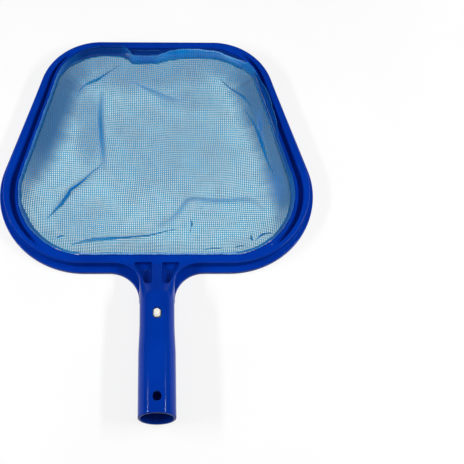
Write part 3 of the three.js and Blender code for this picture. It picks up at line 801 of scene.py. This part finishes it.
FOLD = {
    1: [(0, 2.0, 12.5), (110, 2.0, 12.5), (150, 3.0, 10.6), (200, 3.0, 9.2), (230, 2.8, 9.2),
        (262, 2.6, 9.6), (280, 2.5, 12.3), (334, 2.5, 12.3), (346, 3.0, 9.6), (356, 4.0, 8.0),
        (377, 8.0, 6.6), (400, 8.6, 6.0), (425, 7.4, 5.6), (440, 7.6, 5.2), (452, 9.0, 5.0),
        (459, 11.6, 5.0), (465.7, 13.2, 5.0)],
    -1: [(0, 2.0, 12.5), (90, 2.0, 12.5), (120, 3.4, 10.6), (165, 3.8, 9.4), (185, 1.8, 11.4),
         (335, 1.6, 11.4), (360, 3.0, 7.4), (385, 4.4, 4.6), (412, 4.6, 4.2), (430, 5.2, 4.2),
         (436, 8.4, 4.4), (441, 13.4, 4.8), (448, 13.8, 5.0), (465.7, 13.2, 5.0)],
}
FREE_SWING, FOLD_SWING = 0.35, 0.25

# How the band looks: s, how closed it is, how much painted shade it has, how deep blue and pale it
# # is, and how pale its cut edge and its fold are. The pale colour is partly a painted highlight.
HEM_LOOK = {
    1: [(0, 0.9, 0.0, 0.0, 1.0, 1.0, 0.7), (72, 0.9, 0.0, 0.0, 0.95, 0.9, 0.6),
        (90, 0.85, 0.35, 0.0, 0.2, 0.15, 0.15), (130, 0.85, 0.5, 0.1, 0.1, 0.3, 0.1),
        (170, 0.85, 0.5, 0.15, 0.1, 0.3, 0.1), (200, 0.9, 0.4, 0.3, 0.1, 0.4, 0.1),
        (262, 0.6, 0.7, 0.2, 0.0, 0.3, 0.6), (278, 0.0, 0.7, 0.3, 0.0, 0.1, 1.0),
        (338, 0.0, 0.7, 0.3, 0.0, 0.1, 1.0), (350, 0.8, 0.0, 0.2, 0.1, 0.6, 0.2),
        (372, 0.85, 0.0, 0.0, 0.2, 1.0, 0.1), (426, 0.85, 0.0, 0.0, 0.15, 0.95, 0.1),
        (440, 0.9, 0.0, 0.0, 0.0, 0.4, 0.1), (466, 0.9, 0.1, 0.1, 0.0, 0.25, 0.1)],
    -1: [(0, 0.9, 0.0, 0.0, 1.0, 1.0, 0.7), (70, 0.9, 0.0, 0.0, 0.95, 0.9, 0.6),
         (88, 0.85, 0.35, 0.0, 0.2, 0.15, 0.15), (125, 0.85, 0.5, 0.1, 0.1, 0.3, 0.1),
         (168, 0.85, 0.5, 0.1, 0.15, 0.35, 0.1), (190, 0.8, 0.5, 0.0, 0.4, 0.6, 0.1),
         (340, 0.8, 0.5, 0.0, 0.5, 0.7, 0.1), (375, 0.5, 0.8, 0.3, 0.0, 0.5, 0.2),
         (388, 0.1, 1.0, 0.7, 0.0, 0.4, 0.0), (428, 0.1, 1.0, 0.7, 0.0, 0.4, 0.0),
         (434, 0.5, 0.8, 0.4, 0.0, 0.15, 0.0), (441, 0.9, 0.3, 0.1, 0.0, 0.2, 0.1),
         (466, 0.9, 0.3, 0.1, 0.0, 0.2, 0.1)],
}
LOOKS = ("pale", "shade", "deep", "dense", "open")
# The hidden tail against the wall: painted full shade, deep blue and closed.
TAIL_LOOK = (0.0, 1.0, 0.9, 1.0, 0.0)
DENSE_EDGE = 0.95


def along(table, s):
    """Value of a table at s, eased between its rows."""
    rows = np.asarray(table, float)
    i = int(np.clip(np.searchsorted(rows[:, 0], s) - 1, 0, len(rows) - 2))
    t = float(smooth(s, rows[i, 0], rows[i + 1, 0]))
    return rows[i, 1:] + (rows[i + 1, 1:] - rows[i, 1:]) * t


def wobble(s, side, seed):
    """A small repeatable waviness along the edge."""
    k = s + side * 37.0 + seed * 91.0
    return (math.sin(k * 0.21) + 0.6 * math.sin(k * 0.53 + 1.3) + 0.4 * math.sin(k * 1.17 + 0.4)) / 2


def edge_point(table, s, side, swing):
    """Point of the free edge or the fold, with a waviness of swing mm."""
    offset, z = along(table[side], s)
    offset += swing * wobble(s, side, 1)
    z += 0.3 * swing * wobble(s, side, 2)
    point, inward = station(s, side)
    x, y = point + inward * (float(rim_width(s)) + offset)
    return np.array([x, y, z])


def add_uv(obj, name, uvs):
    layer = obj.data.uv_layers.new(name=name)
    index = np.empty(len(obj.data.loops), int)
    obj.data.loops.foreach_get("vertex_index", index)
    layer.data.foreach_set("uv", np.asarray(uvs, float)[index].ravel())


def add_attributes(obj, names, columns):
    for name, values in zip(names, columns):
        layer = obj.data.attributes.new(name, "FLOAT", "POINT")
        layer.data.foreach_set("value", np.asarray(values, float))


def hem_section(s, side, tail, across):
    """Points across the band at a station: a tail up to its cut edge, the band to its fold, and a
    heel under the bag's edge. On the ridge it bends over, and elsewhere it bulges inward."""
    on_ridge_below, lies_until, clearance = 0.1, 0.45, 0.3
    bend_past, bend_rise, cut_drop = 0.25, 0.35, 0.25
    bulge_in, bulge_up = 0.5, 0.9
    wall_gap, tail_top, tail_fall = 0.05, 12.0, 0.35
    heel_in, heel_drop = 0.9, -0.7
    free, fold = edge_point(FREE, s, side, FREE_SWING), edge_point(FOLD, s, side, FOLD_SWING)
    point, inward = station(s, side)
    width = float(rim_width(s))
    offset, height = along(FREE[side], s)
    over = offset < on_ridge_below
    if over:
        middle = np.array([*(point + inward * (width + bend_past)), RIM_H + bend_rise])
        start = free - np.array([0, 0, cut_drop])
    else:
        middle = (free + fold) / 2 + np.array([*(inward * bulge_in), bulge_up])
        start = np.array([*(point + inward * (width + wall_gap)),
                          min(tail_top, height - tail_fall * offset)])
    row = [mix(start, free, k / tail) for k in range(tail)]
    for k in range(across + 1):
        t = k / across
        p = (1 - t) ** 2 * free + 2 * t * (1 - t) * (2 * middle - (free + fold) / 2) + t * t * fold
        if over and t < lies_until:
            p[2] = max(p[2], RIM_H + clearance)
        row.append(p)
    row.append(fold + np.array([*(inward * heel_in), heel_drop]))
    return row


def hem_look(k, tail, across, row, fray):
    """The five looks of the k-th point across the band, from a row of HEM_LOOK."""
    closed, shade, deep, pale, edge_fray_and_highlight, fold_highlight = row
    if k < tail:
        return TAIL_LOOK
    # The cut edge: light frayed threads, partly a painted highlight.
    if k == tail:
        return (edge_fray_and_highlight * (0.6 + 0.5 * fray), shade, 0.0, DENSE_EDGE, 0.0)
    # The fold: a painted highlight where it catches the light, over a deep blue.
    if k >= tail + across:
        return (fold_highlight * (0.7 + 0.3 * fray), shade, max(deep, 0.3), DENSE_EDGE, 0.0)
    fade = (k - tail) / across
    low = float(smooth(fade, 0.5, 0.8))
    drawn = 1 - closed / 0.5
    return (pale * (0.6 + 0.8 * fray) * (1 - fade), shade, deep, mix(closed, DENSE_EDGE, low),
            mix(drawn, 0.0, low))


def make_hem():
    """The doubled band: from the cut edge, over or beside the ridge, down to the fold."""
    tail, across, measured_at = 3, 9, 6
    around = loop_stations((40, 150, 110, 100, 60))
    points, uvs, looks = [], [], []
    run = 0.0
    last = None
    for s, side in around + [around[0]]:
        section = hem_section(s, side, tail, across)
        if last is not None:
            run += np.linalg.norm(section[measured_at] - last)
        last = section[measured_at]
        row = along(HEM_LOOK[side], s)
        fray = 0.5 + 0.5 * wobble(s * 5.1, side, 4)
        length = 0.0
        for k, p in enumerate(section):
            if k:
                length += np.linalg.norm(p - section[k - 1])
            points.append(p)
            uvs.append((run * MM, length * MM))
            looks.append(hem_look(k, tail, across, row, fray))
    faces = sheet_faces(len(around) + 1, tail + across + 2)
    obj = new_object("hem_band", points, faces, HEM)
    add_uv(obj, "cloth", uvs)
    add_attributes(obj, LOOKS, np.clip(np.array(looks).T, 0, 1))
    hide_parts("net_hem")
    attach(obj, "head")
    return obj


# -------- net bag
# All paths are in mm, x from the middle and y from the rim's foot.

# Low ridges in the cloth: path, height, half width.
FOLDS = [
    ([(-105, 58), (-96, 70), (-84, 88), (-66, 104), (-54, 118)], 3.4, 3.2),
    ([(-52, 117), (-53.2, 130.2), (-54.8, 145.8), (-56.1, 163.8), (-56.3, 177.4), (-55.5, 191)],
     1.8, 3.8),
    ([(-80, 191), (-67, 209), (-40, 225)], 2.4, 3.2),
    ([(63, 212), (89, 182), (100, 144), (111, 113), (121, 93)], 3.0, 3.4),
    ([(-81, 30), (-58, 36), (-26, 37), (-2, 40), (20, 46)], 2.4, 3.4),
    ([(3, 50), (20, 64), (31, 78), (52, 77), (86, 78), (102, 69)], 2.0, 4.2),
    ([(-96, 35), (-89, 38)], 2.0, 2.4),
    ([(91, 36), (98, 35), (112, 37)], 2.6, 2.6),
]

# Pressed creases: path, width of the line, of the doubled band beside it, the band's side (1 is left
# of the path), where along the path it is widest and how strong its colour is.
CREASES = [
    ([(-106, 57), (-100.6, 64), (-95.9, 70), (-91.3, 76.4), (-87.5, 82.9), (-83.8, 88.4),
      (-78, 92.7), (-72.2, 97.7), (-66.5, 103.7), (-61.7, 108.6), (-56.9, 112.5), (-54, 118)],
     1.1, 2.2, -1, 0.3, 0.95),
    ([(-80.4, 191), (-78.5, 196.7), (-76.1, 201.3), (-73.1, 204.8), (-67.2, 208.8), (-60.2, 212.3),
      (-53.3, 217), (-46.5, 222), (-40.5, 226.5), (-36.5, 229.5)], 1.0, 1.4, -1, 0.45, 0.55),
    ([(63.5, 213.4), (72.4, 203), (81.3, 195), (90.1, 185.3), (93.4, 179.5)],
     1.0, 1.6, 1, 0.7, 0.8),
    ([(86.3, 177.8), (91.7, 168.2), (97.2, 156.3), (100.5, 145.1), (103.8, 132.8), (107, 122.7),
      (111, 111.7), (116.4, 100)], 1.0, 2.0, 1, 0.5, 0.95),
    ([(-82, 28), (-76.8, 30.6), (-71.1, 33.2), (-64.4, 35.2), (-57.7, 36.3), (-43.3, 36.5),
      (-26, 37.4), (-11.6, 38.4), (-1.9, 40.5), (8.7, 43.7), (20.3, 46.4)],
     1.0, 4.4, -1, 0.12, 0.8),
    ([(32, 60.3), (32.9, 51.8), (31.9, 43.2)], 0.7, 1.0, 1, 0.5, 0.6),
    ([(91.3, 40), (91.2, 35.7), (92.6, 31)], 0.9, 1.4, -1, 0.5, 0.8),
    ([(94.5, 31), (98.5, 34.7), (103.4, 37.9), (107.3, 38.9), (112.1, 36.8)],
     1.1, 1.6, 1, 0.5, 0.9),
    ([(-96.1, 34.7), (-92.3, 36.3), (-89.4, 37.9)], 1.0, 1.4, 1, 0.5, 0.9),
    ([(44.2, 20.9), (53, 22.2), (62.5, 23)], 0.7, 1.0, 1, 0.5, 0.6),
    ([(74.1, 24.1), (80, 25.4), (85.7, 26.2)], 0.8, 1.0, 1, 0.5, 0.7),
]

# Across a crease: where in widths of the line and of the band, how high, how blue, how closed.
CREASE_ROW = ((-0.5, 0.0, 0.05, 0.0, 0.1), (-0.15, 0.0, 0.55, 0.9, 1.0), (0.5, 0.0, 0.7, 1.0, 1.0),
              (0.8, 0.15, 0.6, 0.75, 0.95), (0.5, 0.85, 0.45, 0.55, 0.9), (0.5, 1.1, 0.05, 0.1, 0.3))

# Soft bands where the cloth lies double: path, half width, how blue, how closed.
BANDS = [
    ([(-55, 197), (-56.3, 177.4), (-56.1, 163.8), (-54.8, 145.8), (-53.2, 130.2), (-52, 113)],
     3.5, 0.5, 0.95),
    ([(101.4, 175), (102.6, 162), (102.9, 153), (103.8, 138)], 3.0, 0.75, 0.97),
    ([(112, 110), (116, 99), (118, 88), (119, 76)], 6.5, 0.45, 0.8),
    ([(2.9, 49.6), (12.6, 56), (20.4, 63.6), (26.3, 72.2), (31.2, 77.6), (40, 78.7), (51.6, 77.1),
      (66.3, 76.6), (85.8, 77.7), (96.5, 74.4), (102.2, 69)], 2.6, 0.36, 0.62),
    ([(-106, 57), (-92, 75), (-84, 88), (-66.5, 103), (-54, 118)], 3.4, 0.2, 0.4),
    ([(-80.4, 191), (-73.1, 204.8), (-60.2, 212.3), (-40.3, 225.1)], 3.4, 0.3, 0.5),
    ([(-30, 214), (-21.1, 208.4), (-13, 203.8), (-1, 198.1), (11, 192.4), (27, 186)],
     2.3, 0.36, 0.7),
    ([(-18, 204), (-5, 197.6), (7, 191.3), (27, 183)], 2.0, 0.22, 0.5),
]

# Painted shade on the cloth down the rim's walls, where the rim shades the floor under it: s along
# # the rim, how dark, how wide in mm.
WALL_SHADE = {
    1: [(0, 0.0, 4), (130, 0.1, 6), (160, 0.6, 14), (190, 0.95, 22), (225, 0.95, 24),
        (260, 0.9, 22), (300, 0.95, 26), (335, 0.9, 26), (360, 0.8, 24), (385, 0.6, 22),
        (430, 0.45, 24), (466, 0.45, 26)],
    -1: [(0, 0.0, 4), (170, 0.15, 6), (205, 0.5, 12), (235, 0.85, 20), (262, 1.0, 26),
         (300, 1.0, 28), (335, 0.95, 30), (370, 0.75, 28), (400, 0.55, 24), (430, 0.45, 24),
         (466, 0.45, 26)],
}

# Broad patches of painted shade: middle, half length across and along, how dark.
PATCHES = [
    (-66, 148, 16, 38, 0.42), (-84, 205, 18, 18, 0.42), (60, 225, 26, 14, 0.35),
    (-10, 226, 90, 34, 0.48), (30, 190, 40, 20, 0.3), (-72, 52, 36, 30, 0.18),
    (92, 205, 14, 16, 0.4), (-72, 178, 22, 26, 0.4), (5, 140, 80, 62, 0.22),
    (-10, 20, 60, 14, 0.14), (-105, 30, 20, 18, 0.24),
]

NET_ROWS, NET_COLUMNS = 330, 250
NET_FROM, NET_TO = S_FOOT * 0.96, S_LEAD * 1.004
FLOOR_Z, SLACK_Z, WALL_RUN = 1.5, 0.9, 26
CLOSED_BY_SHADE = 0.86


def smooth_path(points, step=1.0):
    """Catmull-Rom through points given from the rim's foot, sampled about every step mm."""
    p = np.asarray([(x, y + FOOT) for x, y in points], float)
    p = np.vstack([2 * p[0] - p[1], p, 2 * p[-1] - p[-2]])
    out = []
    for i in range(1, len(p) - 2):
        n = max(2, int(np.linalg.norm(p[i + 1] - p[i]) / step))
        for k in range(n):
            t = k / n
            out.append(0.5 * ((2 * p[i]) + (-p[i - 1] + p[i + 1]) * t
                              + (2 * p[i - 1] - 5 * p[i] + 4 * p[i + 1] - p[i + 2]) * t * t
                              + (-p[i - 1] + 3 * p[i] - 3 * p[i + 1] + p[i + 2]) * t ** 3))
    out.append(p[-2])
    return np.array(out)


def swell(x, y):
    """Broad slack in the cloth, in mm."""
    return (0.55 * np.sin(x * 0.045 + 1.1) * np.sin(y * 0.038 + 0.4)
            + 0.35 * np.sin(x * 0.083 - y * 0.061 + 2.0)
            + 0.22 * np.sin(x * 0.15 + y * 0.11) * np.sin(y * 0.09 - 1.0))


def point_tree(points):
    tree = kdtree.KDTree(len(points))
    for i, p in enumerate(points):
        tree.insert((p[0], p[1], 0), i)
    tree.balance()
    return tree


def taper_at(i, count):
    """1 along most of a path, falling to nothing at its ends."""
    return math.sin(math.pi * min(max((i + 1) / (count + 1), 0.04), 0.96)) ** 0.5


def path_tree(path):
    """A path's tree and how many points it has."""
    pts = smooth_path(path)
    return point_tree(pts), len(pts)


class Bag:
    """The bag's height and tones at a point, from its outline and the lists above."""

    def __init__(self, outline, places):
        self.tree = point_tree(outline)
        self.places = places
        self.edge_z = [p[2] for p in outline]
        self.folds = [(*path_tree(path), *values) for path, *values in FOLDS]
        self.bands = [(*path_tree(path), *values) for path, *values in BANDS]

    def tones(self, x, y):
        """How much painted shade, how blue and how closed the cloth looks at a point."""
        _, index, distance = self.tree.find((x, y, 0))
        s, side = self.places[index]
        # Painted shade down the rim's walls, then in the broad patches.
        dark, width = along(WALL_SHADE[side], s)
        ripple = 1 + 0.05 * math.sin(s * 0.19 + side) + 0.03 * math.sin(s * 0.47 + 2)
        shade = dark * (1 - float(smooth(distance, 0.4 * width * ripple, 1.3 * width * ripple)))
        for px, py, rx, ry, amount in PATCHES:
            r = math.hypot((x - px) / rx, (y - FOOT - py) / ry)
            shade = max(shade, amount * (1 - float(smooth(r, 0.35, 1.25))))
        deep = closed = 0.0
        for tree, count, half, blue, fill in self.bands:
            _, i, d = tree.find((x, y, 0))
            if d < 3 * half:
                share = taper_at(i, count) * math.exp(-(d / half) ** 2)
                deep, closed = max(deep, blue * share), max(closed, fill * share)
        return shade, deep, max(closed, CLOSED_BY_SHADE * shade)

    def height(self, x, y):
        """Height in mm: down from the hem's fold to a slack floor with its folds."""
        _, index, distance = self.tree.find((x, y, 0))
        floor = FLOOR_Z + max(0.0, 1.0 + float(swell(x, y))) * SLACK_Z
        for tree, count, height, half in self.folds:
            _, i, d = tree.find((x, y, 0))
            if d < 4 * half:
                floor += height * taper_at(i, count) * math.exp(-(d / half) ** 2)
        return mix(self.edge_z[index], floor, float(smooth(distance, 0, WALL_RUN)) ** 0.6)


def slack_uv(x, y):
    """Where a point lies in the cloth, in metres. The cloth's slack bends its threads."""
    u = (x + 1.5 * math.sin(y * 0.031 + 1.0) + 0.9 * math.sin(x * 0.05 + y * 0.043)
         + 0.4 * math.sin(y * 0.12))
    v = (y + 1.4 * math.sin(x * 0.034 + 0.5) + 0.9 * math.sin(x * 0.047 - y * 0.05)
         + 0.4 * math.sin(x * 0.11))
    return u * MM, v * MM


def add_crease(bag, crease, points, uvs, tones, faces):
    """A pressed fold: a narrow crest and the doubled cloth lying to one side of it."""
    step, least, spread, above_net = 0.8, 0.22, 0.24, 0.25
    path, line, band, band_side, widest, strength = crease
    pts = smooth_path(path, step)
    ahead = np.gradient(pts, axis=0)
    ahead /= np.linalg.norm(ahead, axis=1)[:, None]
    left = np.column_stack([-ahead[:, 1], ahead[:, 0]]) * band_side
    first = len(points)
    for i, p in enumerate(pts):
        t = i / (len(pts) - 1)
        end = taper_at(i, len(pts))
        swollen = least + (1 - least) * math.exp(-((t - widest) / spread) ** 2)
        wide = band * swollen * (1 + 0.2 * wobble(i * 2.2, 1, 6))
        for a, b, rise, deep, closed in CREASE_ROW:
            x, y = p + left[i] * (a * line + b * wide) * end
            points.append((x, y, bag.height(x, y) + above_net + rise * end))
            uvs.append(slack_uv(x * 1.04 + 0.7, y * 0.98))
            tones.append((0.0, deep * end * strength, closed * end * mix(1, strength, 0.5)))
    faces += sheet_faces(len(pts), len(CREASE_ROW), first)


def net_edges():
    """The bag's left, top, right and foot edges along the hem's fold: their stations and points."""
    lows = list(np.linspace(NET_FROM, NET_TO, NET_ROWS))
    tops = np.linspace(lows[-1], 2 * S_END - lows[-1], NET_COLUMNS + 1)
    feet = np.linspace(-lows[0], lows[0], NET_COLUMNS + 1)
    places = ([(s, -1) for s in lows],
              [(s, -1) if s <= S_END else (2 * S_END - s, 1) for s in tops],
              [(s, 1) for s in lows],
              [(abs(u), 1 if u >= 0 else -1) for u in feet])
    edges = [np.array([edge_point(FOLD, s, side, FOLD_SWING) for s, side in at]) for at in places]
    return places, edges


def make_net():
    """The open weave: rows from side to side, bent to the foot's and the leading edge's outline."""
    top_blend, top_hold, foot_hold, foot_blend = 45, 2, 1, 20
    places, (left, top, right, foot) = net_edges()
    left_at, top_at, right_at, foot_at = places
    bag = Bag([*left, *top, *right, *foot], left_at + top_at + right_at + foot_at)
    points, uvs, tones = [], [], []
    t = np.linspace(0, 1, NET_COLUMNS + 1)[:, None]
    top_shift = top - (left[-1] * (1 - t) + right[-1] * t)
    foot_shift = foot - (left[0] * (1 - t) + right[0] * t)
    top_y, foot_y = top[:, 1].mean(), foot[:, 1].mean()
    for j in range(NET_ROWS):
        row = left[j] * (1 - t) + right[j] * t
        y = row[:, 1].mean()
        up, down = 1.0, 1.0
        if j < NET_ROWS - 1:
            up = float(smooth(y, top_y - top_blend, top_y - top_hold))
        if j:
            down = 1 - float(smooth(y, foot_y + foot_hold, foot_y + foot_blend))
        for x, y, _ in row + top_shift * up + foot_shift * down:
            points.append((x, y, bag.height(x, y)))
            uvs.append(slack_uv(x, y))
            tones.append(bag.tones(x, y))
    faces = sheet_faces(NET_ROWS, NET_COLUMNS + 1)
    for crease in CREASES:
        add_crease(bag, crease, points, uvs, tones, faces)
    obj = new_object("net_bag", points, faces, NET)
    add_uv(obj, "cloth", uvs)
    add_attributes(obj, ("shade", "deep", "dense"), np.array(tones).T)
    add_attributes(obj, ("pale",), [np.zeros(len(points))])
    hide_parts("net_mesh")
    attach(obj, "head")
    return obj


hem_band = make_hem()
net_bag = make_net()

KEPT_SOLIDS = {"hem_bead_cord": CORD, "clip_bend": NYLON, "clip_upper_leg": NYLON,
               "clip_lower_leg": NYLON}
for name, material in KEPT_SOLIDS.items():
    obj = bpy.data.objects[name]
    obj.data.materials.clear()
    obj.data.materials.append(material)

scene = bpy.context.scene
scene.view_settings.view_transform = "Standard"
